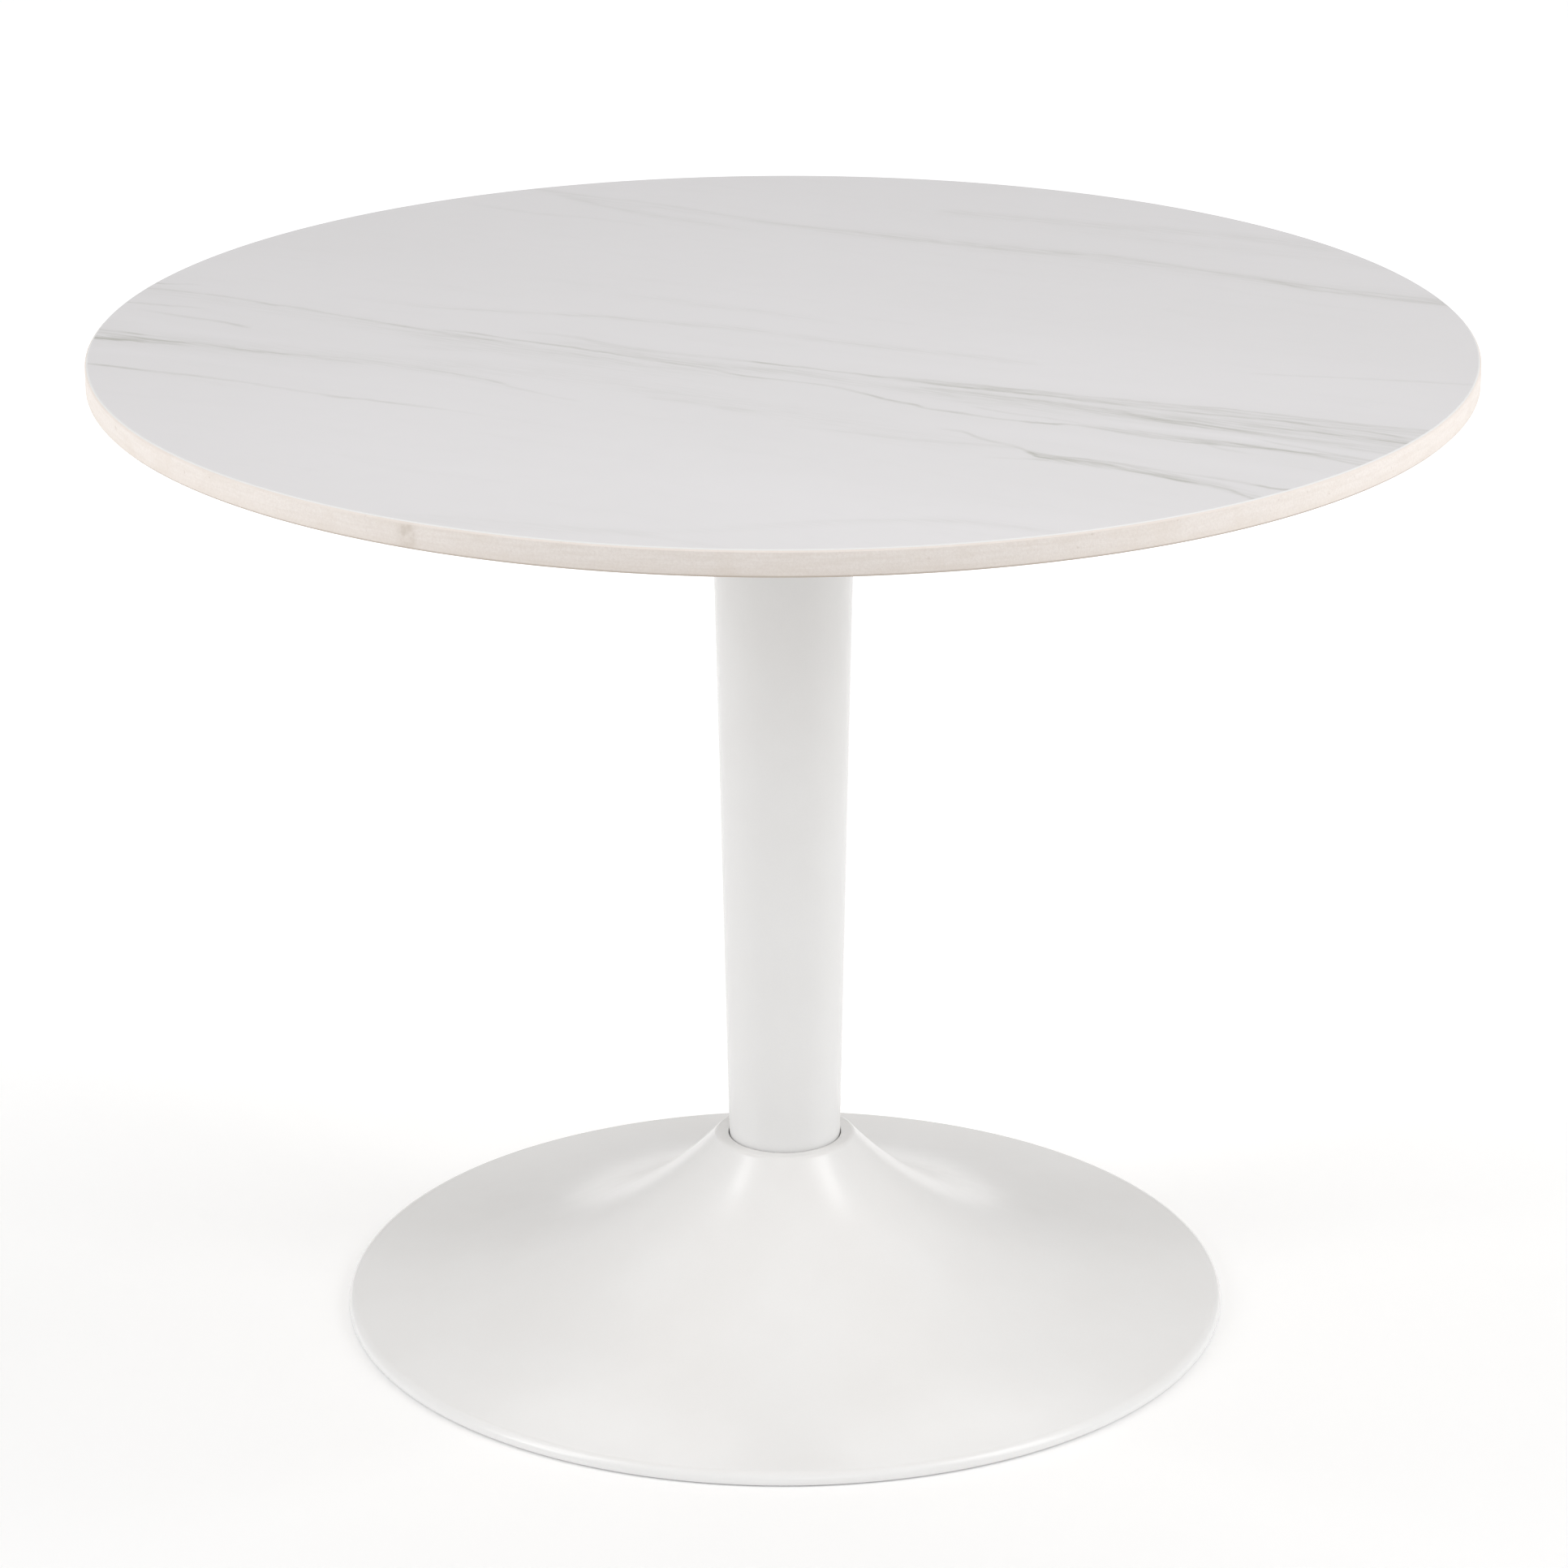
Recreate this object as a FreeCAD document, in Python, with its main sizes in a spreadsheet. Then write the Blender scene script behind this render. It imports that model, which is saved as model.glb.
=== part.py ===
import FreeCAD, Part
import math
import os
import re
import Sketcher
from FreeCAD import Placement, Rotation, Vector

# Round pedestal table: a ceramic slab on a tapered steel column and a spun trumpet base.
# Millimetres, +Z up, origin on the floor at the centre of the base.

# Driving dimensions: alias, value, meaning. Lengths in mm, angles in degrees.
SIZES = [
    ("table_height", 450, "floor to tabletop"),
    ("slab_radius", 300, "tabletop radius"),
    ("slab_thickness", 11.4, "ceramic slab thickness"),
    ("slab_arris", 1, "broken edge of the slab"),
    ("gasket_thickness", 1, "foam between steel plate and ceramic"),
    ("plate_radius", 100, "steel plate under the slab"),
    ("plate_thickness", 5, "steel plate thickness"),
    ("plate_chamfer", 0.8, "broken edge of steel discs"),
    ("weld_leg", 4, "fillet weld between column and plate"),
    ("plate_screw_pitch", 80, "pitch radius of the screws into the slab"),
    ("plate_screw_count", 4, "screws into the slab"),
    ("insert_radius", 5, "bonded sleeve, outside"),
    ("insert_length", 8, "bonded sleeve, length"),
    ("insert_groove", 0.5, "depth of a sleeve's bonding grooves"),
    ("insert_hole_depth", 8.5, "blind hole in the slab"),
    ("top_screw_radius", 3, "M6 thread"),
    ("top_screw_length", 16, "M6 screw under its head"),
    ("top_head_radius", 5.25, "M6 button head"),
    ("top_head_height", 3.3, "M6 button head"),
    ("top_key_width", 4, "hexagon socket across flats"),
    ("top_key_depth", 2, "hexagon socket depth"),
    ("top_washer_radius", 6, "M6 flat washer"),
    ("top_spring_radius", 5.5, "M6 split washer"),
    ("top_washer_thickness", 1.6, "M6 washers"),
    ("bolt_hole_play", 0.3, "radial play of a screw in a clearance hole"),
    ("fit_gap", 0.05, "radial gap of turned parts that fit each other"),
    ("column_top_radius", 32.4, "column outside at the plate"),
    ("column_foot_radius", 24.6, "column outside at its foot"),
    ("column_wall", 2, "column wall"),
    ("plug_length", 18, "threaded plug in the column's foot"),
    ("base_radius", 199, "trumpet base, widest"),
    ("shell_wall", 2, "trumpet sheet thickness"),
    ("rim_round", 4, "rounding of the trumpet's rim"),
    ("rim_centre_z", 2, "height of the rim rounding's centre"),
    ("rim_edge_z", 0.8, "height of the trumpet's lower edge"),
    ("rim_slope", 3, "slope of the trumpet just inside the rim"),
    ("skirt_curve", 315, "radius of the outer, flat part of the trumpet"),
    ("skirt_slope", 14, "slope where the flare meets the skirt"),
    ("flare_curve", 200, "radius of the inner, steep part of the trumpet"),
    ("hub_slope", 49.4, "slope just outside the hub's lip"),
    ("lip_round", 3, "rounding from the lip to the flare"),
    ("hub_hole_radius", 25.4, "hole that the column's foot passes"),
    ("hole_round", 0.5, "rounding of the hub hole's edge"),
    ("socket_radius", 29.2, "cup outside"),
    ("socket_bore", 25.4, "cup inside"),
    ("socket_floor_z", 60, "height of the cup's floor, where the column stands"),
    ("socket_floor", 6, "thickness of the cup's floor"),
    ("pin_pitch", 15, "distance of the locating pin from the axis"),
    ("pin_radius", 2.5, "locating pin"),
    ("pin_length", 12, "locating pin"),
    ("spacer_radius", 15, "spacer tube outside"),
    ("spacer_bore", 10, "spacer tube inside"),
    ("ballast_top_z", 22, "ballast, highest face"),
    ("ballast_crown_radius", 92, "ballast, end of the highest face"),
    ("ballast_knee_radius", 120, "ballast, break of the sloping top"),
    ("ballast_knee_z", 15.8, "ballast, height of that break"),
    ("ballast_radius", 150, "ballast, outside"),
    ("ballast_edge_z", 8.7, "ballast, height of its outer edge"),
    ("recess_radius", 16, "ballast, recess round the bolt's head"),
    ("recess_depth", 12, "ballast, depth of that recess"),
    ("cover_radius", 190, "bottom plate"),
    ("cover_thickness", 2, "bottom plate"),
    ("cover_access_radius", 18, "hole in the bottom plate for the bolt"),
    ("cover_screw_pitch", 110, "pitch radius of the bottom plate's screws"),
    ("cover_screw_count", 6, "bottom plate's screws"),
    ("cover_screw_radius", 2, "M4 thread"),
    ("cover_screw_length", 10, "M4 countersunk screw over all"),
    ("cover_head_radius", 3.9, "M4 countersunk head"),
    ("cover_key_width", 2.5, "hexagon socket across flats"),
    ("cover_key_depth", 1.4, "hexagon socket depth"),
    ("cover_hole_depth", 10, "tapped hole in the ballast"),
    ("base_bolt_radius", 6, "M12 thread"),
    ("base_bolt_length", 65, "M12 bolt under its head"),
    ("base_head_width", 18, "M12 head across flats"),
    ("base_head_height", 7.5, "M12 head"),
    ("base_washer_radius", 12, "M12 flat washer"),
    ("base_spring_radius", 10.5, "M12 split washer"),
    ("base_washer_thickness", 2.5, "M12 washers"),
    ("thread_chamfer", 0.8, "chamfer at the end of a thread"),
    ("split_gap", 1.5, "gap of a split washer"),
    ("ring_inner_radius", 183, "foot ring inside"),
    ("ring_outer_radius", 195.5, "foot ring outside"),
    ("ring_thickness", 2, "foot ring"),
    ("ring_round", 0.5, "foot ring's broken edges"),
]

doc = FreeCAD.newDocument("pedestal_table")
sheet = doc.addObject("Spreadsheet::Sheet", "Sizes")
for row, (alias, value, meaning) in enumerate(SIZES, start=1):
    sheet.set(f"A{row}", meaning)
    sheet.set(f"B{row}", str(value))
    sheet.setAlias(f"B{row}", alias)
doc.recompute()

subparts = []


# ---------------------------------------------------------------- heights, as expressions

slab_under_z = "(table_height - slab_thickness)"
plate_top_z = f"({slab_under_z} - gasket_thickness)"
plate_under_z = f"({plate_top_z} - plate_thickness)"
top_washer_z = f"({plate_under_z} - top_washer_thickness)"
top_head_z = f"({top_washer_z} - top_washer_thickness)"
cover_under_z = "ring_thickness"
cover_top_z = f"({cover_under_z} + cover_thickness)"
recess_top_z = f"({cover_top_z} + recess_depth)"
base_washer_z = f"({recess_top_z} - base_washer_thickness)"
base_head_z = f"({base_washer_z} - base_washer_thickness)"
socket_under_z = "(socket_floor_z - socket_floor)"


def bound(expression):
    """The expression with every alias (a name with an underscore) read from the sheet."""
    return re.sub(r"[a-z]+(_[a-z]+)+", r"Sizes.\g<0>", expression)


def number(expression):
    """The expression's value at the sheet's present sizes."""
    value = sheet.evalExpression(bound(expression))
    return float(getattr(value, "Value", value))


def column_radius(height):
    """Outside radius of the tapered column at a height."""
    taper = f"(column_top_radius - column_foot_radius) / ({plate_under_z} - socket_floor_z)"
    return f"(column_foot_radius + ({height} - socket_floor_z) * {taper})"


# ---------------------------------------------------------------- sketches and features

def origin_feature(body, role):
    return next(item for item in body.Origin.OriginFeatures if item.Role == role)


def new_sketch(body, name, role, height=None):
    """An empty sketch on an origin plane of its body, lifted to a height if one is given."""
    sketch = body.newObject("Sketcher::SketchObject", name)
    sketch.AttachmentSupport = [(origin_feature(body, role), "")]
    sketch.MapMode = "FlatFace"
    if height is not None:
        sketch.AttachmentOffset = Placement(Vector(0, 0, number(height)), Rotation())
        sketch.setExpression("AttachmentOffset.Base.z", bound(height))
    return sketch


def drive(sketch, kind, anchor, expression):
    """A dimension whose value follows the sheet."""
    value = number(expression)
    if kind == "Radius":
        constraint = Sketcher.Constraint(kind, anchor[0], value)
    else:
        constraint = Sketcher.Constraint(kind, -1, 1, anchor[0], anchor[1], value)
    index = sketch.addConstraint(constraint)
    sketch.setExpression(f"Constraints[{index}]", bound(expression))


def place_vertex(sketch, anchor, x, y):
    """Fix a vertex by its two distances from the sketch's origin."""
    for kind, axis, expression in (("DistanceX", -2, x), ("DistanceY", -1, y)):
        if abs(number(expression)) < 1e-9:
            sketch.addConstraint(Sketcher.Constraint("PointOnObject", anchor[0], anchor[1], axis))
        else:
            drive(sketch, kind, anchor, expression)


def arc_between(start, end, radius, side):
    """Arc from start to end with its centre on the left (+1) or right (-1) of the chord."""
    chord = end - start
    reach = math.sqrt(radius ** 2 - (chord.Length / 2) ** 2)
    across = Vector(-chord.y, chord.x, 0).normalize()
    centre = (start + end) / 2 + across * (reach * side)
    first, last = (start, end) if side > 0 else (end, start)
    angles = [math.atan2(p.y - centre.y, p.x - centre.x) for p in (first, last)]
    circle = Part.Circle(centre, Vector(0, 0, 1), radius)
    return Part.ArcOfCircle(circle, angles[0], angles[1])


def draw_outline(sketch, corners):
    """Closed outline through the corners, each (x, y) or (x, y, (radius, side)).

    The third item makes the edge that leaves the corner an arc.
    """
    points = [Vector(number(corner[0]), number(corner[1]), 0) for corner in corners]
    edges = []
    for i, corner in enumerate(corners):
        start, end = points[i], points[(i + 1) % len(points)]
        if len(corner) == 3:
            radius, side = corner[2]
            edge = sketch.addGeometry(arc_between(start, end, number(radius), side), False)
            drive(sketch, "Radius", (edge,), radius)
            edges.append((edge, 1, 2) if side > 0 else (edge, 2, 1))
        else:
            edges.append((sketch.addGeometry(Part.LineSegment(start, end), False), 1, 2))
    for i, (edge, head, tail) in enumerate(edges):
        previous, _, previous_tail = edges[i - 1]
        link = Sketcher.Constraint("Coincident", previous, previous_tail, edge, head)
        sketch.addConstraint(link)
        place_vertex(sketch, (edge, head), corners[i][0], corners[i][1])


def draw_hexagon(sketch, x, width):
    """Regular hexagon centred at (x, 0), width across flats, flats facing +-X."""
    half = f"{width} / 2"
    corner_y = f"{width} / (2 * cos(30))"
    corners = [
        (f"{x} + {half}", f"{corner_y} / 2"),
        (x, corner_y),
        (f"{x} - {half}", f"{corner_y} / 2"),
        (f"{x} - {half}", f"-{corner_y} / 2"),
        (x, f"-{corner_y}"),
        (f"{x} + {half}", f"-{corner_y} / 2"),
    ]
    draw_outline(sketch, corners)


def turn(body, name, kind, corners, pitch=None):
    """Revolution or Groove of an outline (radius, height) about Z, or about a line at pitch.

    With a pitch, the outline's radii are counted from that parallel line.
    """
    sketch = new_sketch(body, name + "_outline", "XZ_Plane")
    if pitch is None:
        draw_outline(sketch, corners)
        axis = (sketch, ["V_Axis"])
    else:
        draw_outline(sketch, [(f"{pitch} + {c[0]}",) + tuple(c[1:]) for c in corners])
        low, high = number(corners[0][1]), number(corners[-1][1])
        line = Part.LineSegment(Vector(number(pitch), low, 0), Vector(number(pitch), high, 0))
        edge = sketch.addGeometry(line, True)
        place_vertex(sketch, (edge, 1), pitch, corners[0][1])
        place_vertex(sketch, (edge, 2), pitch, corners[-1][1])
        axis = (sketch, ["Axis0"])
    feature = body.newObject("PartDesign::" + kind, name)
    feature.Profile = sketch
    feature.ReferenceAxis = axis
    feature.Angle = 360
    return feature


def prism(body, name, kind, sketch, length, upward):
    """Pad or Pocket of a level sketch, up or down by a length."""
    feature = body.newObject("PartDesign::" + kind, name)
    feature.Profile = sketch
    feature.setExpression("Length", bound(length))
    feature.Reversed = upward if kind == "Pocket" else not upward
    return feature


def repeat_round(body, name, features, count):
    """The features repeated round Z; becomes the body's tip."""
    pattern = body.newObject("PartDesign::PolarPattern", name)
    pattern.Originals = features
    pattern.Axis = (origin_feature(body, "Z_Axis"), [""])
    pattern.Angle = 360
    pattern.setExpression("Occurrences", bound(count))
    body.Tip = pattern
    return pattern


def new_body(label):
    body = doc.addObject("PartDesign::Body", label)
    body.Label = label
    body.Placement = Placement()
    subparts.append(body)
    return body


def drill_round(body, name, corners, pitch, count):
    """Turned holes repeated on a pitch circle."""
    hole = turn(body, name, "Groove", corners, pitch)
    repeat_round(body, name + "s", [hole], count)


def tube_corners(inner, outer, low, high):
    return [(inner, low), (outer, low), (outer, high), (inner, high)]


# ---------------------------------------------------------------- tabletop

def tabletop_slab():
    """Ceramic disc with broken edges and blind holes for the sleeves underneath."""
    body = new_body("tabletop_slab")
    inset = "slab_radius - slab_arris"
    turn(body, "disc", "Revolution", [
        ("0", slab_under_z),
        (inset, slab_under_z),
        ("slab_radius", f"{slab_under_z} + slab_arris"),
        ("slab_radius", "table_height - slab_arris"),
        (inset, "table_height"),
        ("0", "table_height"),
    ])
    bore = "insert_radius + fit_gap"
    hole_top = f"{slab_under_z} + insert_hole_depth"
    hole = [("0", slab_under_z), (bore, slab_under_z), (bore, hole_top), ("0", hole_top)]
    drill_round(body, "sleeve_hole", hole, "plate_screw_pitch", "plate_screw_count")


def tabletop_inserts():
    """Brass sleeves with two bonding grooves each, flush with the slab's underside."""
    body = new_body("tabletop_inserts")
    bore = "top_screw_radius + fit_gap"
    waist = "insert_radius - insert_groove"
    step = "insert_length / 5"
    heights = [f"{slab_under_z} + {i} * {step}" for i in range(6)]
    corners = [(bore, heights[0])]
    for i in range(5):
        radius = waist if i % 2 else "insert_radius"
        corners += [(radius, heights[i]), (radius, heights[i + 1])]
    corners.append((bore, heights[5]))
    sleeve = turn(body, "sleeve", "Revolution", corners, "plate_screw_pitch")
    repeat_round(body, "sleeves", [sleeve], "plate_screw_count")


def plate_gasket():
    """Thin foam disc between plate and slab, open round each screw."""
    body = new_body("plate_gasket")
    turn(body, "disc", "Revolution", tube_corners("0", "plate_radius", plate_top_z, slab_under_z))
    hole = tube_corners("0", "top_screw_radius + 2 * bolt_hole_play", plate_top_z, slab_under_z)
    drill_round(body, "screw_hole", hole, "plate_screw_pitch", "plate_screw_count")


def top_plate():
    """Steel disc with broken edges and the fillet weld that joins it to the column."""
    body = new_body("top_plate")
    weld_z = f"{plate_under_z} - weld_leg"
    turn(body, "disc", "Revolution", [
        ("0", plate_under_z),
        ("column_top_radius", plate_under_z),
        (column_radius(weld_z), weld_z),
        ("column_top_radius + weld_leg", plate_under_z),
        ("plate_radius - plate_chamfer", plate_under_z),
        ("plate_radius", f"{plate_under_z} + plate_chamfer"),
        ("plate_radius", f"{plate_top_z} - plate_chamfer"),
        ("plate_radius - plate_chamfer", plate_top_z),
        ("0", plate_top_z),
    ])
    hole = tube_corners("0", "top_screw_radius + bolt_hole_play", plate_under_z, plate_top_z)
    drill_round(body, "screw_hole", hole, "plate_screw_pitch", "plate_screw_count")


def plate_screws():
    """Button-head screws with hexagon sockets, heads down."""
    body = new_body("plate_screws")
    tip_z = f"{top_head_z} + top_screw_length"
    face_z = f"{top_head_z} - top_head_height"
    crown = "top_head_radius * 0.55"
    screw = turn(body, "screw", "Revolution", [
        ("0", face_z),
        (crown, face_z, ("top_head_radius", 1)),
        ("top_head_radius", f"{top_head_z} - 0.2 * top_head_height"),
        ("top_head_radius", top_head_z),
        ("top_screw_radius", top_head_z),
        ("top_screw_radius", f"{tip_z} - thread_chamfer"),
        ("top_screw_radius - thread_chamfer", tip_z),
        ("0", tip_z),
    ], "plate_screw_pitch")
    sketch = new_sketch(body, "key_outline", "XY_Plane", face_z)
    draw_hexagon(sketch, "plate_screw_pitch", "top_key_width")
    key = prism(body, "key", "Pocket", sketch, "top_key_depth", upward=True)
    repeat_round(body, "screws", [screw, key], "plate_screw_count")


def washer_ring(label, inner, outer, low, thickness, pitch=None, count=None, split=False):
    """A flat or split washer on the axis, or a ring of them on a pitch circle."""
    body = new_body(label)
    high = f"{low} + {thickness}"
    features = [turn(body, "ring", "Revolution", tube_corners(inner, outer, low, high), pitch)]
    if split:
        centre = pitch or "0"
        sketch = new_sketch(body, "split_outline", "XY_Plane", low)
        draw_outline(sketch, [
            (f"{centre} + {inner} / 2", "-split_gap / 2"),
            (f"{centre} + {outer} + split_gap", "-split_gap / 2"),
            (f"{centre} + {outer} + split_gap", "split_gap / 2"),
            (f"{centre} + {inner} / 2", "split_gap / 2"),
        ])
        features.append(prism(body, "split", "Pocket", sketch, thickness, upward=True))
    if count is not None:
        repeat_round(body, "rings", features, count)


def plate_washers():
    inner = "(top_screw_radius + bolt_hole_play / 2)"
    place = dict(pitch="plate_screw_pitch", count="plate_screw_count")
    thick = "top_washer_thickness"
    washer_ring("plate_washers", inner, "top_washer_radius", top_washer_z, thick, **place)
    washer_ring("plate_spring_washers", inner, "top_spring_radius", top_head_z, thick,
                split=True, **place)


# ---------------------------------------------------------------- column

def column_tube():
    """Tapered steel tube, wide end up under the plate, narrow end in the cup."""
    body = new_body("column_tube")
    turn(body, "tube", "Revolution", [
        ("column_foot_radius - column_wall", "socket_floor_z"),
        ("column_foot_radius", "socket_floor_z"),
        ("column_top_radius", plate_under_z),
        ("column_top_radius - column_wall", plate_under_z),
    ])


def column_foot_plug():
    """Threaded plug in the column's foot, drilled for the locating pin."""
    body = new_body("column_foot_plug")
    high = "socket_floor_z + plug_length"
    bore = "base_bolt_radius + fit_gap"
    turn(body, "plug", "Revolution", [
        (bore, "socket_floor_z"),
        (f"{column_radius('socket_floor_z')} - column_wall - fit_gap", "socket_floor_z"),
        (f"{column_radius(high)} - column_wall - fit_gap", high),
        (bore, high),
    ])
    pin_room = f"{socket_under_z} + pin_length + bolt_hole_play"
    hole = tube_corners("0", "pin_radius + fit_gap", "socket_floor_z", pin_room)
    turn(body, "pin_hole", "Groove", hole, "pin_pitch")


# ---------------------------------------------------------------- base

def next_up(junction, radius, low_slope, high_slope):
    """Junction at the upper end of a hollow arc that steepens from one slope to another."""
    reach, height = junction
    return (f"{reach} - {radius} * (sin({high_slope}) - sin({low_slope}))",
            f"{height} + {radius} * (cos({low_slope}) - cos({high_slope}))")


def inside(junction, slope):
    """The point one sheet thickness under a junction, square to the sheet."""
    reach, height = junction
    return (f"{reach} - shell_wall * sin({slope})", f"{height} - shell_wall * cos({slope})")


rim_centre_radius = "(base_radius - rim_round)"
rim_joint = (f"{rim_centre_radius} + rim_round * sin(rim_slope)",
             "rim_centre_z + rim_round * cos(rim_slope)")
skirt_joint = next_up(rim_joint, "skirt_curve", "rim_slope", "skirt_slope")
flare_joint = next_up(skirt_joint, "flare_curve", "skirt_slope", "hub_slope")
crest_radius = f"({flare_joint[0]} - lip_round * sin(hub_slope))"
hub_height = f"({flare_joint[1]} + lip_round * (1 - cos(hub_slope)))"
lip_under_z = f"({hub_height} - shell_wall)"


def rim_reach(radius):
    """Distance from the axis to the rim's arc of this radius, at the sheet's lower edge."""
    drop = "(rim_centre_z - rim_edge_z)"
    return f"{rim_centre_radius} + sqrt(({radius}) ^ 2 - {drop} ^ 2)"


def base_shell():
    """Spun trumpet: flat lip, steep flare, nearly level skirt and rounded rim, one sheet thick."""
    body = new_body("base_shell")
    rim_inside = "rim_round - shell_wall"
    lip_inside = "lip_round - shell_wall"
    turn(body, "trumpet", "Revolution", [
        ("hub_hole_radius", lip_under_z),
        (crest_radius, lip_under_z, (lip_inside, -1)),
        inside(flare_joint, "hub_slope") + (("flare_curve + shell_wall", 1),),
        inside(skirt_joint, "skirt_slope") + (("skirt_curve + shell_wall", 1),),
        inside(rim_joint, "rim_slope") + ((rim_inside, -1),),
        (rim_reach(rim_inside), "rim_edge_z"),
        (rim_reach("rim_round"), "rim_edge_z", ("rim_round", 1)),
        rim_joint + (("skirt_curve", -1),),
        skirt_joint + (("flare_curve", -1),),
        flare_joint + (("lip_round", 1),),
        (crest_radius, hub_height),
        ("hub_hole_radius + hole_round", hub_height, ("hole_round", 1)),
        ("hub_hole_radius", f"{hub_height} - hole_round"),
    ])


def hub_socket():
    """Turned cup under the lip: the column stands on its floor."""
    body = new_body("hub_socket")
    bore = "base_bolt_radius + 2 * bolt_hole_play"
    turn(body, "cup", "Revolution", [
        (bore, socket_under_z),
        ("socket_radius", socket_under_z),
        ("socket_radius", lip_under_z),
        ("socket_bore", lip_under_z),
        ("socket_bore", "socket_floor_z"),
        (bore, "socket_floor_z"),
    ])
    hole = tube_corners("0", "pin_radius + fit_gap", socket_under_z, "socket_floor_z")
    turn(body, "pin_hole", "Groove", hole, "pin_pitch")


def locating_pin():
    """Dowel that keys the column's plug to the cup's floor."""
    body = new_body("locating_pin")
    high = f"{socket_under_z} + pin_length"
    broken = "pin_radius / 5"
    turn(body, "pin", "Revolution", [
        ("0", socket_under_z),
        (f"pin_radius - {broken}", socket_under_z),
        ("pin_radius", f"{socket_under_z} + {broken}"),
        ("pin_radius", f"{high} - {broken}"),
        (f"pin_radius - {broken}", high),
        ("0", high),
    ], "pin_pitch")


def hub_spacer():
    """Tube that carries the bolt's clamping force from the ballast to the cup."""
    body = new_body("hub_spacer")
    corners = tube_corners("spacer_bore", "spacer_radius", "ballast_top_z", socket_under_z)
    turn(body, "tube", "Revolution", corners)


def ballast_weight():
    """Cast disc that follows the trumpet, with a recess for the bolt's head underneath."""
    body = new_body("ballast_weight")
    bore = "base_bolt_radius + 2 * bolt_hole_play"
    turn(body, "casting", "Revolution", [
        (bore, recess_top_z),
        ("recess_radius", recess_top_z),
        ("recess_radius", cover_top_z),
        ("ballast_radius", cover_top_z),
        ("ballast_radius", "ballast_edge_z"),
        ("ballast_knee_radius", "ballast_knee_z"),
        ("ballast_crown_radius", "ballast_top_z"),
        (bore, "ballast_top_z"),
    ])
    hole_top = f"{cover_top_z} + cover_hole_depth"
    hole = tube_corners("0", "cover_screw_radius + fit_gap", cover_top_z, hole_top)
    drill_round(body, "tapped_hole", hole, "cover_screw_pitch", "cover_screw_count")


def bottom_plate():
    """Steel disc that closes the base, countersunk for its screws."""
    body = new_body("bottom_plate")
    turn(body, "disc", "Revolution", [
        ("cover_access_radius", cover_under_z),
        ("cover_radius - plate_chamfer", cover_under_z),
        ("cover_radius", f"{cover_under_z} + plate_chamfer"),
        ("cover_radius", cover_top_z),
        ("cover_access_radius", cover_top_z),
    ])
    shank = "cover_screw_radius + bolt_hole_play"
    mouth = "cover_head_radius + bolt_hole_play"
    sink = "(cover_head_radius - cover_screw_radius)"
    drill_round(body, "countersunk_hole", [
        ("0", cover_under_z),
        (mouth, cover_under_z),
        (shank, f"{cover_under_z} + {sink}"),
        (shank, cover_top_z),
        ("0", cover_top_z),
    ], "cover_screw_pitch", "cover_screw_count")


def bottom_plate_screws():
    """Countersunk screws with hexagon sockets, flush with the plate's underside."""
    body = new_body("bottom_plate_screws")
    tip_z = f"{cover_under_z} + cover_screw_length"
    sink = "(cover_head_radius - cover_screw_radius)"
    screw = turn(body, "screw", "Revolution", [
        ("0", cover_under_z),
        ("cover_head_radius", cover_under_z),
        ("cover_screw_radius", f"{cover_under_z} + {sink}"),
        ("cover_screw_radius", f"{tip_z} - thread_chamfer"),
        ("cover_screw_radius - thread_chamfer", tip_z),
        ("0", tip_z),
    ], "cover_screw_pitch")
    sketch = new_sketch(body, "key_outline", "XY_Plane", cover_under_z)
    draw_hexagon(sketch, "cover_screw_pitch", "cover_key_width")
    key = prism(body, "key", "Pocket", sketch, "cover_key_depth", upward=True)
    repeat_round(body, "screws", [screw, key], "cover_screw_count")


def base_bolt():
    """Hexagon-head bolt, head down in the ballast's recess, thread in the column's plug."""
    body = new_body("base_bolt")
    face_z = f"{base_head_z} - base_head_height"
    tip_z = f"{base_head_z} + base_bolt_length"
    sketch = new_sketch(body, "head_outline", "XY_Plane", face_z)
    draw_hexagon(sketch, "0", "base_head_width")
    prism(body, "head", "Pad", sketch, "base_head_height", upward=True)
    turn(body, "shank", "Revolution", tube_corners("0", "base_bolt_radius", base_head_z, tip_z))
    corner_radius = "base_head_width / (2 * cos(30))"
    turn(body, "head_chamfer", "Groove", [
        ("base_head_width / 2", face_z),
        (f"{corner_radius} + 1", face_z),
        (f"{corner_radius} + 1", f"{face_z} + ({corner_radius} + 1 - base_head_width / 2) * tan(30)"),
    ])
    turn(body, "tip_chamfer", "Groove", [
        ("base_bolt_radius - thread_chamfer", tip_z),
        ("base_bolt_radius", f"{tip_z} - thread_chamfer"),
        ("base_bolt_radius + thread_chamfer", tip_z),
    ])


def base_washers():
    inner = "(base_bolt_radius + bolt_hole_play)"
    thick = "base_washer_thickness"
    washer_ring("base_washer", inner, "base_washer_radius", base_washer_z, thick)
    washer_ring("base_spring_washer", inner, "base_spring_radius", base_head_z, thick, split=True)


def foot_ring():
    """Rubber ring that the table stands on, with broken edges."""
    body = new_body("foot_ring")
    turn(body, "ring", "Revolution", [
        ("ring_inner_radius + ring_round", "0"),
        ("ring_outer_radius - ring_round", "0"),
        ("ring_outer_radius", "ring_round"),
        ("ring_outer_radius", "ring_thickness"),
        ("ring_inner_radius", "ring_thickness"),
        ("ring_inner_radius", "ring_round"),
    ])


tabletop_slab()
tabletop_inserts()
plate_gasket()
top_plate()
plate_screws()
plate_washers()
column_tube()
column_foot_plug()
base_shell()
hub_socket()
locating_pin()
hub_spacer()
ballast_weight()
bottom_plate()
bottom_plate_screws()
base_bolt()
base_washers()
foot_ring()
doc.recompute()

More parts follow.
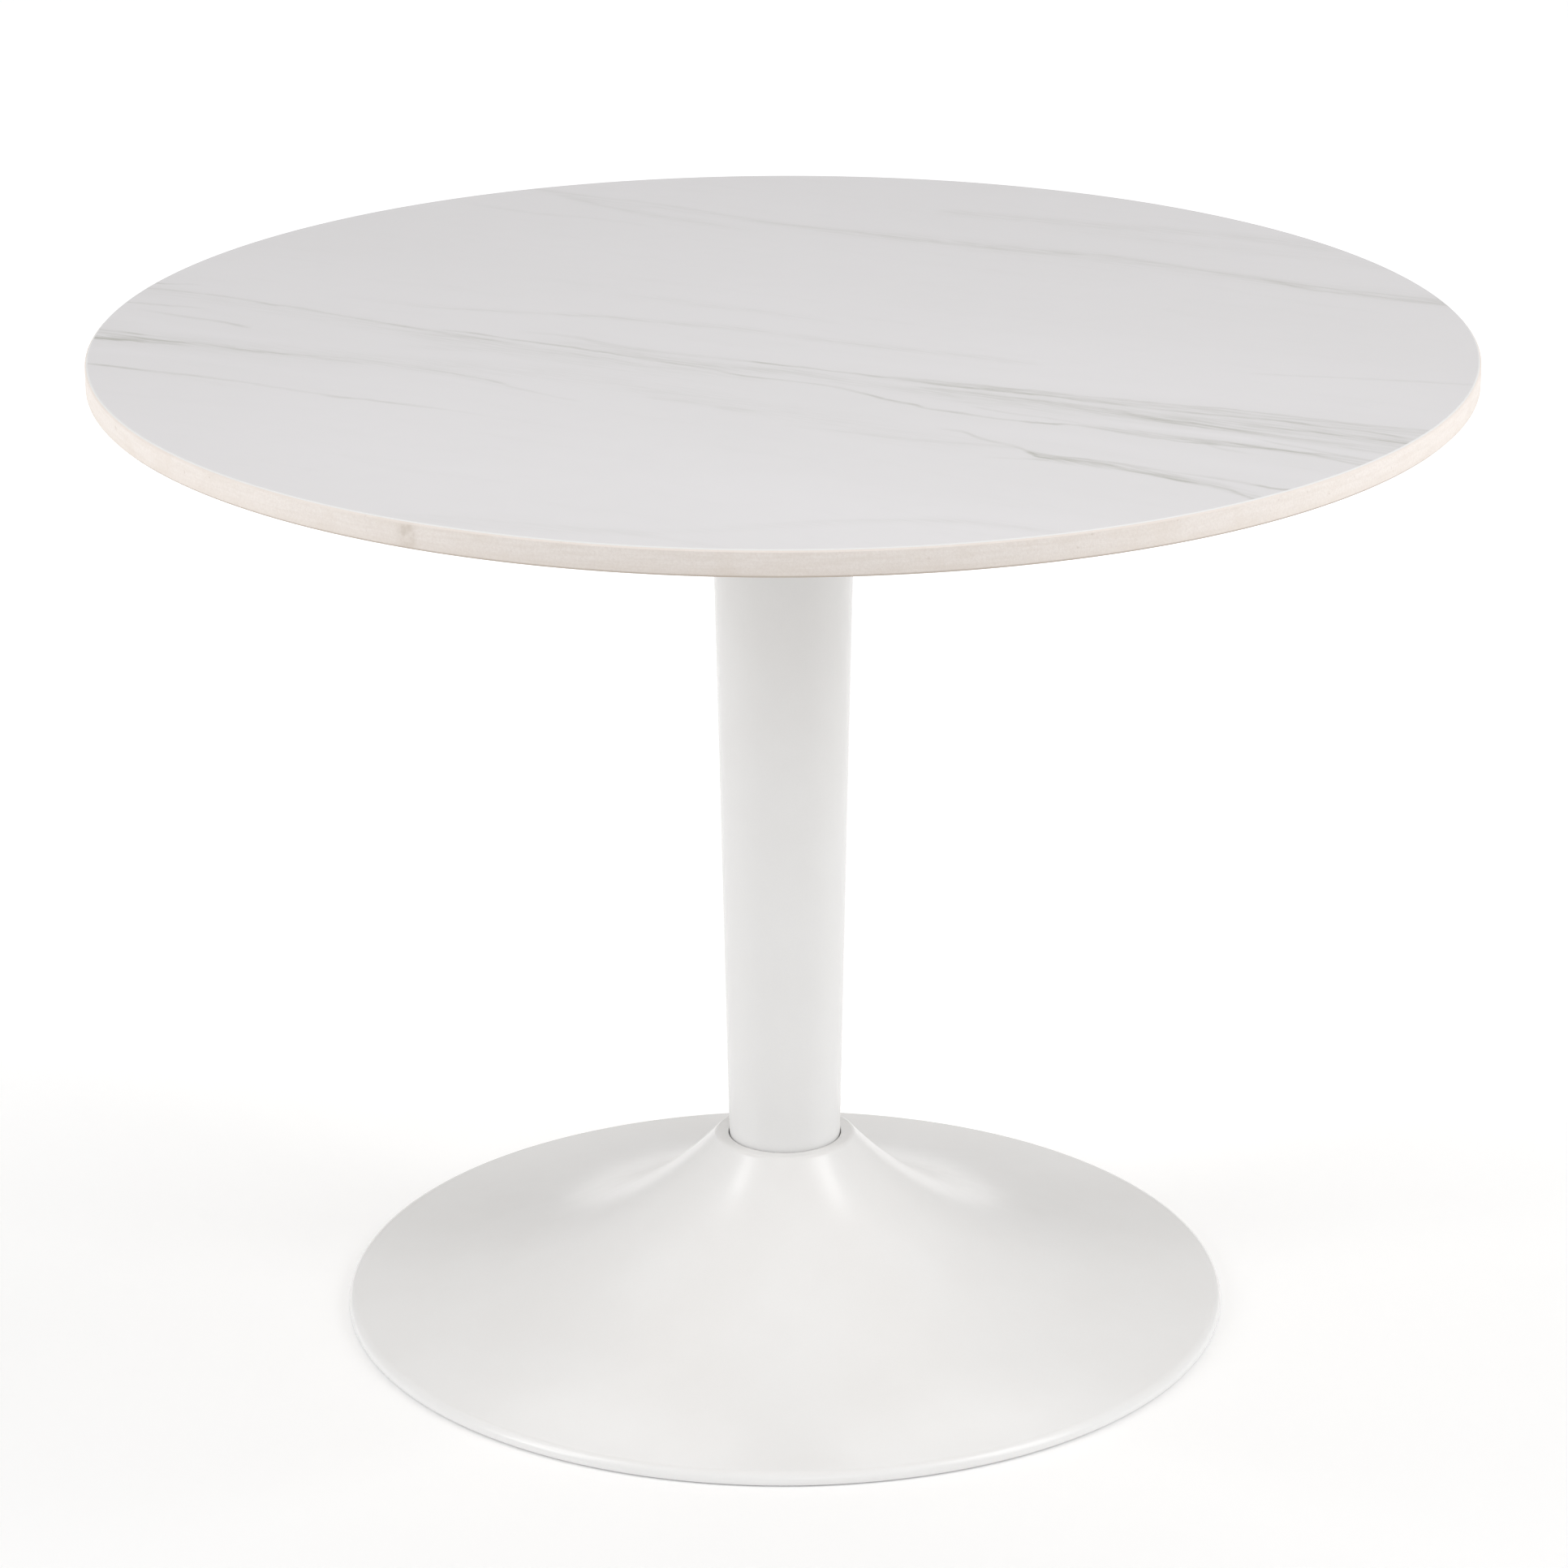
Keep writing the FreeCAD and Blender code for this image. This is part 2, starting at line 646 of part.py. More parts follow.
for item in doc.Objects:
    if "Invalid" in item.State or "Error" in item.State:
        raise RuntimeError(f"{item.Label}: {item.State}")
for body in subparts:
    if body.Shape.isNull() or not body.Shape.isValid():
        raise RuntimeError(f"{body.Label}: no valid shape")

os.makedirs("parts", exist_ok=True)
for body in subparts:
    body.Shape.exportStep(f"parts/{body.Label}.step")
    box = body.Shape.BoundBox
    print(f"{body.Label:22s} solids {len(body.Shape.Solids)}  volume {body.Shape.Volume:12.1f}"
          f"  z {box.ZMin:7.2f} to {box.ZMax:7.2f}  reach {box.XMax:7.2f}")
print(f"hub height {number(hub_height):.2f}, crest radius {number(crest_radius):.2f}")
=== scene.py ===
import bmesh
import bpy
import math
from mathutils import Matrix, Quaternion, Vector


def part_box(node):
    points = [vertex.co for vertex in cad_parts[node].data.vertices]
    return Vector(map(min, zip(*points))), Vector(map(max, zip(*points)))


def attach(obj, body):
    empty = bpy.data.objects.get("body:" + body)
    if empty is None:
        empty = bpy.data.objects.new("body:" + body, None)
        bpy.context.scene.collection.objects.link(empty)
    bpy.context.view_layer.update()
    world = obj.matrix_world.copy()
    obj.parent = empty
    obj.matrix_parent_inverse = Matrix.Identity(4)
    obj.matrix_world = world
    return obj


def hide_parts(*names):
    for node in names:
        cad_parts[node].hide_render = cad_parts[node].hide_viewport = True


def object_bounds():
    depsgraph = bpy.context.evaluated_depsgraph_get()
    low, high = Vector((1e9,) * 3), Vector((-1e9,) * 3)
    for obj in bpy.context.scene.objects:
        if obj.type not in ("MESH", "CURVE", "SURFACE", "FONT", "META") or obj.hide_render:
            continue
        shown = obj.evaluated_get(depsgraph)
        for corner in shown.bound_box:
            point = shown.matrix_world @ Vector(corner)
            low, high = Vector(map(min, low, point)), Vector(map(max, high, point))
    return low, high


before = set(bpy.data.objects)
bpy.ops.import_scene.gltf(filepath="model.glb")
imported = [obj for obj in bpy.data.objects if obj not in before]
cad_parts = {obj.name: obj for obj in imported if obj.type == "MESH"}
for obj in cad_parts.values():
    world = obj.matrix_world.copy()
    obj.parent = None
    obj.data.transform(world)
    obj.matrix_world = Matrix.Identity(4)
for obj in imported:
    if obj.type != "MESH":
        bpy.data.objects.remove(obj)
cad_low, cad_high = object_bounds()

MM = 0.001
ROUND_SEGMENTS = 288
SMOOTH_BELOW = math.radians(32)


# ---------------------------------------------------------------- outlines and turned meshes

def rounded(corners, steps=6):
    """A closed outline; each corner is (radius, height, rounding), in mm."""
    points = []
    for i, (radius, height, rounding) in enumerate(corners):
        corner = Vector((radius, height))
        if rounding == 0:
            points.append(tuple(corner))
            continue
        before = (Vector(corners[i - 1][:2]) - corner).normalized()
        after = (Vector(corners[(i + 1) % len(corners)][:2]) - corner).normalized()
        half = before.angle(after) / 2
        centre = corner + (before + after).normalized() * (rounding / math.sin(half))
        start = corner + before * (rounding / math.tan(half)) - centre
        end = corner + after * (rounding / math.tan(half)) - centre
        for k in range(steps + 1):
            points.append(tuple(centre + start.lerp(end, k / steps).normalized() * rounding))
    return points


def arc(centre, radius, start, end, steps):
    """Points of an arc in an outline; angles in degrees, 0 outwards and 90 upwards."""
    points = []
    for k in range(steps + 1):
        turn = math.radians(start + (end - start) * k / steps)
        points.append((centre[0] + radius * math.cos(turn), centre[1] + radius * math.sin(turn)))
    return points


def finish_mesh(bm, name):
    bmesh.ops.recalc_face_normals(bm, faces=bm.faces)
    mesh = bpy.data.meshes.new(name)
    bm.to_mesh(mesh)
    bm.free()
    for face in mesh.polygons:
        face.use_smooth = True
    mesh.set_sharp_from_angle(angle=SMOOTH_BELOW)
    piece = bpy.data.objects.new(name, mesh)
    bpy.context.scene.collection.objects.link(piece)
    return piece


def lathe(name, outline, segments=ROUND_SEGMENTS, centre=(0, 0)):
    """A closed outline of (radius, height), in mm, turned about a vertical line."""
    bm = bmesh.new()
    turns = [2 * math.pi * k / segments for k in range(segments)]
    rings = []
    for radius, height in outline:
        if radius < 1e-6:
            rings.append([bm.verts.new((centre[0] * MM, centre[1] * MM, height * MM))])
            continue
        rings.append([
            bm.verts.new(((centre[0] + radius * math.cos(t)) * MM,
                          (centre[1] + radius * math.sin(t)) * MM, height * MM))
            for t in turns
        ])
    for low, high in zip(rings, rings[1:] + rings[:1]):
        for k in range(segments):
            n = (k + 1) % segments
            corners = ([low[0]] if len(low) == 1 else [low[k], low[n]])
            corners += ([high[0]] if len(high) == 1 else [high[n], high[k]])
            if len(corners) > 2:
                bm.faces.new(corners)
    return finish_mesh(bm, name)


def cut(piece, tools):
    """Takes the tools away from the piece."""
    for tool in tools:
        modifier = piece.modifiers.new("cut", "BOOLEAN")
        modifier.operation = "DIFFERENCE"
        modifier.solver = "EXACT"
        modifier.object = tool
    graph = bpy.context.evaluated_depsgraph_get()
    mesh = bpy.data.meshes.new_from_object(piece.evaluated_get(graph))
    piece.modifiers.clear()
    piece.data = mesh
    mesh.set_sharp_from_angle(angle=SMOOTH_BELOW)
    for tool in tools:
        bpy.data.objects.remove(tool)


# ---------------------------------------------------------------- materials

class Finish:
    """A node material; its textures and lengths are in the object's own metres."""

    def __init__(self, name, **shader):
        self.material = bpy.data.materials.new(name)
        self.material.use_nodes = True
        self.tree = self.material.node_tree
        self.shader = self.tree.nodes["Principled BSDF"]
        self.place = self.node("ShaderNodeTexCoord").outputs["Object"]
        self.bumps = None
        for key, value in shader.items():
            self.shader.inputs[key.replace("_", " ")].default_value = value

    def node(self, kind, inputs=(), **settings):
        made = self.tree.nodes.new(kind)
        for key, value in settings.items():
            setattr(made, key, value)
        for key, value in dict(inputs).items():
            self.feed(made.inputs[key], value)
        return made

    def feed(self, socket, value):
        if isinstance(value, bpy.types.NodeSocket):
            self.tree.links.new(value, socket)
        else:
            socket.default_value = value

    def math(self, operation, *values):
        inputs = dict(enumerate(values))
        return self.node("ShaderNodeMath", inputs, operation=operation).outputs[0]

    def total(self, values):
        made = values[0]
        for value in values[1:]:
            made = self.math("ADD", made, value)
        return made

    def axes(self):
        split = self.node("ShaderNodeSeparateXYZ", {"Vector": self.place})
        return split.outputs["X"], split.outputs["Y"], split.outputs["Z"]

    def vector(self, x, y, z):
        return self.node("ShaderNodeCombineXYZ", {"X": x, "Y": y, "Z": z}).outputs[0]

    def length(self, vector):
        return self.node("ShaderNodeVectorMath", {0: vector}, operation="LENGTH").outputs["Value"]

    def radius(self):
        x, y, _ = self.axes()
        return self.length(self.vector(x, y, 0.0))

    def cells(self, scale):
        inputs = {"Vector": self.place, "Scale": scale}
        return self.node("ShaderNodeTexVoronoi", inputs).outputs["Distance"]

    def noise(self, scale, detail, place=None, roughness=0.5):
        inputs = {"Vector": place or self.place, "Scale": scale, "Detail": detail,
                  "Roughness": roughness}
        return self.node("ShaderNodeTexNoise", inputs).outputs["Fac"]

    def spread(self, value, low, high, to_low=0.0, to_high=1.0, smooth=True):
        inputs = {"Value": value, "From Min": low, "From Max": high,
                  "To Min": to_low, "To Max": to_high}
        kind = "SMOOTHSTEP" if smooth else "LINEAR"
        return self.node("ShaderNodeMapRange", inputs, interpolation_type=kind).outputs["Result"]

    def mix(self, share, first, second):
        made = self.tree.nodes.new("ShaderNodeMix")
        made.data_type = "RGBA"
        for index, value in ((0, share), (6, first), (7, second)):
            if isinstance(value, tuple) and len(value) == 3:
                value = (*value, 1.0)
            self.feed(made.inputs[index], value)
        return made.outputs[2]

    def curves(self, place, *lines):
        """One output for each line of (position, value) points, all from 0 to 1."""
        made = self.node("ShaderNodeRGBCurve", {"Color": place})
        made.mapping.extend = "HORIZONTAL"
        for line, curve in zip(lines, made.mapping.curves):
            while len(curve.points) < len(line):
                curve.points.new(0.5, 0.5)
            for point, at in zip(curve.points, line):
                point.location = at
                point.handle_type = "AUTO_CLAMPED"
        made.mapping.update()
        split = self.node("ShaderNodeSeparateColor", {"Color": made.outputs["Color"]})
        return [split.outputs[k] for k in range(len(lines))]

    def colour(self, value):
        self.feed(self.shader.inputs["Base Color"], value)

    def rough(self, value):
        self.feed(self.shader.inputs["Roughness"], value)

    def bump(self, height, depth):
        """Adds relief of this depth, in metres; several add up."""
        inputs = {"Height": height, "Distance": depth, "Strength": 1.0}
        if self.bumps is not None:
            inputs["Normal"] = self.bumps
        self.bumps = self.node("ShaderNodeBump", inputs).outputs["Normal"]
        self.feed(self.shader.inputs["Normal"], self.bumps)


# The marble print on the glaze, from the back left to the front right: each line's half width in
# mm, then its points as (x in mm, y in mm, strength). Strokes are the thin dark lines.
STROKES = {
    "main": (1.5, [(-290, 94, .5), (-270, 87, .45), (-246, 76, .5), (-235, 69, .3), (-226, 63, .9),
                   (-218, 60, .4), (-200, 48, .5), (-186, 39, .5), (-172, 30, .8), (-162, 24, .6),
                   (-146, 15, .45), (-138, 10, .6), (-128, 4, .4), (-114, -4, .0)]),
    "main_mid": (1.5, [(-150, 21, .0), (-136, 15, .8), (-118, 5, .5), (-106, -1, .75),
                       (-96, -6, .85), (-84, -13, 1.), (-74, -18, .9), (-60, -27, .65),
                       (-40, -38, .5), (-30, -44, .35), (-20, -52, .6), (-12, -56, .7),
                       (0, -61, .45), (20, -71, .5), (34, -82, .6), (40, -88, .9), (50, -96, .9),
                       (55, -99, 1.2), (60, -105, .5), (74, -112, .8), (84, -118, .6),
                       (96, -123, .65), (106, -127, 1.2), (116, -129, .7), (126, -132, .35),
                       (138, -140, .55), (150, -147, .65), (160, -153, .6), (171, -157, 1.),
                       (182, -161, .55), (205, -168, .75), (218, -177, .6), (240, -196, .6)]),
    "main_side": (1.4, [(160, -145, .0), (176, -153, .4), (192, -161, .6), (206, -168, .6),
                        (222, -174, .4), (240, -184, .3)]),
    "tail": (1.6, [(172, -158, .0), (177, -164, .35), (186, -170, .2), (194, -175, .0)]),
    "lead": (2.4, [(-118, 18, .0), (-94, 10, .3), (-76, -3, .45), (-62, -12, .35), (-40, -22, .3),
                   (-22, -29, .3), (-12, -33, .4), (-6, -36, .0)]),
    "upper": (1.5, [(-14, -32, .0), (-9, -34, .8), (0, -38, .95), (12, -43, .75), (20, -47, .65),
                    (30, -51, .75), (40, -56, .6), (52, -59, .4), (80, -69, .4), (96, -76, .45),
                    (104, -78, .7), (116, -83, .3), (140, -92, .35), (166, -101, .4),
                    (184, -106, .6), (192, -110, .35), (220, -122, .5), (240, -131, .4),
                    (264, -139, .5)]),
    "second": (1.5, [(36, -55, .0), (55, -63, .5), (66, -69, .7), (80, -74, .85), (100, -82, .85),
                     (112, -86, .5), (124, -93, .5), (136, -98, .6), (150, -104, .5),
                     (164, -110, .55), (176, -114, .7), (190, -119, .75), (204, -124, 1.),
                     (212, -128, 1.), (220, -132, .6), (242, -142, .75), (254, -150, .3),
                     (262, -156, .0)]),
    "third": (1.8, [(56, -72, .0), (70, -77, .35), (100, -91, .4), (114, -97, .6), (124, -102, .55),
                    (138, -109, .4), (148, -118, .6), (160, -124, .6), (172, -130, .6),
                    (184, -138, .5), (200, -146, .4), (216, -153, .35), (246, -166, .3)]),
    "fourth": (1.5, [(190, -148, .0), (200, -156, .35), (210, -163, .45), (222, -172, .4),
                     (238, -184, .3)]),
    "fifth": (1.5, [(200, -134, .0), (216, -141, .4), (232, -148, .35), (250, -156, .7),
                    (262, -161, .6)]),
    "loop": (1.4, [(78, -102, .0), (86, -107, .35), (96, -113, .3), (110, -120, .35),
                   (124, -128, .0)]),
    "front": (1.7, [(62, -133, .0), (72, -138, .4), (80, -148, .65), (86, -154, .6), (94, -161, .4),
                    (99, -168, .9), (104, -176, 1.3), (114, -179, .7), (126, -184, .75),
                    (138, -194, .7), (148, -201, .8), (154, -206, 1.2), (163, -212, .9),
                    (173, -218, .6), (184, -232, .75), (190, -240, .7)]),
    "front_upper": (1.6, [(98, -165, .0), (105, -172, .7), (113, -176, 1.), (124, -180, .9),
                          (138, -187, .75), (150, -194, .45), (166, -202, .4), (180, -210, .45),
                          (187, -215, .7), (194, -220, 1.3), (204, -223, 1.2)]),
    "front_lead": (2.4, [(-6, -126, .0), (20, -137, .14), (44, -147, .25), (62, -153, .2),
                         (84, -159, .2), (98, -165, .0)]),
    "front_hook": (1.5, [(80, -174, .0), (90, -177, .3), (102, -179, .4), (108, -181, .0)]),
    "left": (1.6, [(-302, 9, 1.), (-294, 7, 1.3), (-284, 5, 1.3), (-276, 2, .7), (-264, -2, .25),
                   (-254, -5, .0)]),
    "left_mid": (1.4, [(-302, 20, .6), (-288, 13, .6), (-270, 5, .95), (-260, 1, .85),
                       (-252, -1, .4), (-243, -5, .45), (-234, -10, .75), (-228, -13, .7),
                       (-218, -17, .45), (-198, -22, .3), (-170, -32, .15), (-146, -46, .25),
                       (-134, -54, .55), (-124, -60, .5), (-112, -72, .3), (-98, -83, .25),
                       (-82, -95, .0)]),
    "left_high": (1.5, [(-302, 24, .6), (-290, 19, .5), (-283, 16, .8), (-276, 13, .3),
                        (-262, 8, .2), (-250, 4, .0)]),
    "left_front": (1.5, [(-302, -31, .36), (-286, -37, .81), (-272, -43, .77), (-260, -48, .59),
                         (-250, -52, .68), (-240, -57, .63), (-228, -62, .36), (-212, -71, .36),
                         (-200, -78, .32), (-188, -85, .54), (-176, -89, .63), (-163, -95, .68),
                         (-156, -98, .36), (-140, -105, .18), (-122, -114, .0)]),
    "corner": (1.5, [(-296, 70, .5), (-278, 64, .45), (-268, 61, .4), (-252, 56, .0)]),
    "corner_low": (1.6, [(-286, 57, .0), (-270, 48, .4), (-258, 41, .5), (-246, 35, .55),
                         (-238, 29, .65), (-232, 25, .0)]),
    "corner_high": (1.5, [(-288, 105, 1.), (-281, 101, 1.), (-275, 99, .6), (-268, 99, .3),
                          (-258, 96, .0)]),
    "middle": (1.7, [(-176, 66, .0), (-152, 57, .15), (-132, 53, .24), (-112, 48, .15),
                     (-98, 45, .21), (-86, 43, .3), (-75, 41, .3), (-64, 36, .24), (-46, 29, .21),
                     (-30, 24, .15), (-14, 19, .0)]),
    "smudge": (2.6, [(-60, -86, .0), (-48, -91, .24), (-38, -95, .28), (-31, -99, .1),
                     (-24, -103, .28), (-18, -106, .24), (-10, -110, .0)]),
    "back": (1.9, [(-130, 280, .19), (-104, 266, .22), (-60, 244, .25), (-28, 224, .19),
                   (-4, 206, .25), (20, 196, .22), (56, 178, .19), (84, 165, .19), (120, 151, .19),
                   (152, 143, .19), (180, 126, .22), (204, 110, .34), (222, 97, .46),
                   (236, 84, .34), (260, 74, .4), (296, 56, .43)]),
    "back_double": (1.5, [(210, 108, .0), (226, 96, .24), (244, 86, .27), (264, 78, .33),
                          (296, 64, .3)]),
    "back_low": (2.4, [(-112, 268, .0), (-92, 248, .17), (-74, 232, .17), (-48, 214, .17),
                       (-30, 202, .14), (-12, 190, .0)]),
    "back_left": (2.6, [(-150, 244, .0), (-136, 238, .13), (-116, 226, .18), (-96, 220, .12),
                        (-76, 210, .12), (-56, 198, .0)]),
    "right_short": (1.8, [(196, -52, .0), (216, -56, .25), (240, -60, .25), (268, -66, .3),
                          (298, -72, .3)]),
    "front_rim": (2.4, [(-160, -250, .0), (-130, -256, .1), (-104, -264, .1), (-60, -276, .1)]),
    "front_low": (2.4, [(-10, -266, .0), (20, -262, .1), (60, -262, .11), (84, -268, .12),
                        (104, -277, .1)]),
}
# Washes are the wide fibrous greys that go with the strokes, by the slope of their fibres in
# degrees.
WASHES = {
    -23: {
        "band_upper": (6, [(30, -54, .0), (60, -64, .5), (90, -76, .75), (120, -88, .7),
                           (150, -99, .55), (190, -113, .55), (230, -130, .5), (262, -144, .5)]),
    },
    -28: {
        "band_start": (9, [(-110, 8, .0), (-80, -8, .3), (-50, -28, .5), (-20, -42, .5),
                           (10, -52, .4), (40, -70, .3), (70, -88, .22), (100, -104, .15),
                           (130, -118, .0)]),
        "band_middle": (8, [(50, -72, .0), (80, -84, .45), (110, -98, .45), (140, -112, .4),
                            (180, -128, .4), (220, -142, .4), (256, -158, .4)]),
        "band_lower": (5, [(120, -110, .0), (146, -119, .5), (164, -128, .75), (184, -138, .7),
                           (200, -146, .4), (216, -156, .4), (238, -168, .4)]),
        "band_wide": (20, [(60, -80, .0), (110, -100, .2), (160, -118, .25), (210, -138, .3),
                           (256, -158, .3)]),
        "main_fill": (5, [(118, -129, .0), (138, -137, .55), (154, -145, .8), (172, -154, .9),
                          (190, -161, .7), (206, -169, .55), (222, -178, .4), (240, -190, .3)]),
        "main_under": (7, [(-160, 16, .0), (-136, 6, .3), (-110, -8, .2), (-84, -22, .35),
                           (-60, -36, .3), (-30, -50, .2), (0, -66, .0)]),
        "left_fill": (6, [(-302, 10, .8), (-286, 7, .72), (-268, 2, .4), (-250, -4, .24),
                          (-230, -12, .24), (-200, -24, .16), (-160, -40, .16), (-130, -58, .2),
                          (-104, -78, .0)]),
        "left_wide": (18, [(-302, 14, .25), (-260, 0, .25), (-220, -14, .2), (-160, -34, .2),
                           (-120, -44, .2), (-80, -60, .15), (-40, -84, .2), (0, -110, .15),
                           (60, -150, .14), (110, -172, .0)]),
        "main_left": (14, [(-290, 92, .2), (-240, 66, .15), (-190, 36, .2), (-150, 8, .25),
                           (-110, -16, .25), (-60, -44, .15), (-20, -66, .0)]),
        "middle_fill": (7, [(-210, 84, .0), (-170, 66, .1), (-120, 50, .14), (-80, 42, .21),
                            (-50, 31, .24), (-20, 22, .28), (10, 6, .24), (40, -8, .32),
                            (70, -20, .28), (96, -32, .24), (112, -38, .0)]),
        "middle_low": (8, [(-170, -2, .0), (-140, -10, .15), (-120, -14, .0)]),
        "middle_high": (8, [(-80, 82, .0), (-52, 70, .16), (-24, 56, .2), (4, 42, .15),
                            (24, 28, .0)]),
        "back_fill": (7, [(-120, 274, .18), (-80, 248, .18), (-30, 222, .18), (0, 204, .24),
                          (40, 186, .24), (80, 168, .27), (120, 153, .24), (156, 138, .24),
                          (190, 118, .21), (222, 98, .3), (250, 80, .3), (294, 60, .36)]),
        "back_wide": (16, [(0, 200, .0), (50, 182, .2), (100, 160, .25), (150, 138, .2),
                           (200, 108, .15), (250, 84, .2), (290, 66, .2)]),
        "back_start": (9, [(-110, 266, .0), (-86, 244, .15), (-60, 222, .15), (-34, 206, .12),
                           (-10, 190, .0)]),
        "back_cloud": (11, [(70, 230, .0), (90, 222, .28), (120, 212, .28), (150, 200, .28),
                            (176, 192, .32), (200, 184, .24), (222, 174, .28), (244, 160, .24),
                            (262, 150, .0)]),
        "back_second": (14, [(110, 206, .0), (150, 186, .12), (200, 160, .14), (250, 140, .12)]),
        "rim_cloud": (9, [(-180, -248, .0), (-140, -260, .12), (-60, -276, .12), (0, -268, .12),
                          (60, -262, .15), (90, -270, .15), (110, -280, .12)]),
    },
    -38: {
        "front_fill": (6, [(98, -168, .0), (108, -178, .7), (124, -186, .95), (140, -194, .85),
                           (156, -204, .8), (170, -214, .55), (184, -228, .4), (192, -238, .4)]),
    },
}
# Paler patches of the glaze between the veins.
PALE = {
    "gap": (4.5, [(126, -122, .0), (142, -129, .7), (156, -136, 1.), (172, -143, 1.),
                  (188, -150, 1.), (200, -156, .7), (210, -162, .3), (222, -168, .1),
                  (232, -172, .3), (246, -176, .4)]),
    "under": (14, [(40, -118, .0), (80, -136, .3), (120, -152, .5), (160, -176, .45),
                   (196, -196, .5), (222, -210, .4)]),
    "over": (16, [(-80, 14, .0), (-30, -8, .3), (30, -34, .35), (80, -54, .4), (130, -72, .45),
                  (180, -88, .4), (230, -106, .35), (280, -124, .2)]),
    "over_wide": (60, [(40, 10, .0), (110, -20, .35), (180, -50, .45), (240, -70, .45),
                       (300, -90, .3)]),
    "left": (8, [(-300, -10, .5), (-270, -18, .5), (-230, -36, .35), (-190, -56, .25),
                 (-150, -76, .0)]),
    "left_top": (9, [(-290, 44, .3), (-262, 22, .5), (-230, 8, .4), (-200, -4, .2),
                     (-170, -14, .0)]),
    "front": (90, [(-250, -110, .3), (-200, -150, .45), (-120, -200, .5), (-20, -240, .55),
                   (60, -270, .55)]),
}
VEIN_SLOPE = math.radians(-30)
SPAN = 0.64  # length that the curves cover, a little over the tabletop's diameter
STRONGEST = 1.5  # the strength at which a curve reaches 1
STROKE_SHARE, WASH_SHARE, PALE_SHARE = 0.60, 0.84, 0.085
FIBRES = 520
GLAZE_WHITE, GLAZE_GREY = (0.711, 0.695, 0.702), (0.458, 0.450, 0.420)
BODY_DARK, BODY_PALE = (0.765, 0.705, 0.660), (0.820, 0.768, 0.726)
STAIN = (-0.1470, -0.2615, 0.4440)
RIB_PITCH = 5.0 * MM


def print_layer(finish, along, across, layer, widen=None):
    """Adds up the lines of one layer of the print."""
    lean = Vector((math.cos(VEIN_SLOPE), math.sin(VEIN_SLOPE)))
    side = Vector((-lean.y, lean.x))
    inputs = {"Red": along, "Green": along, "Blue": along}
    everywhere = finish.node("ShaderNodeCombineColor", inputs).outputs[0]
    total = 0.0
    for half_width, points in layer.values():
        path, strength = [], []
        for x, y, s in points:
            at = Vector((x, y)) * MM
            position = at.dot(lean) / SPAN + 0.5
            path.append((position, at.dot(side) / SPAN + 0.5))
            strength.append((position, s / STRONGEST))
        line, dark = finish.curves(everywhere, path, strength)
        reach = finish.math("ABSOLUTE", finish.math("SUBTRACT", across, line))
        if widen is not None:
            reach = finish.math("DIVIDE", reach, widen)
        near = finish.spread(reach, 0.0, half_width * MM / SPAN, STRONGEST, 0.0)
        total = finish.math("MULTIPLY_ADD", near, dark, total)
    return total


def turned_axes(finish, x, y, slope):
    """Positions along and across a direction on the top."""
    cos, sin = math.cos(slope), math.sin(slope)
    along = finish.math("MULTIPLY_ADD", x, cos, finish.math("MULTIPLY", y, sin))
    across = finish.math("MULTIPLY_ADD", x, -sin, finish.math("MULTIPLY", y, cos))
    return along, across


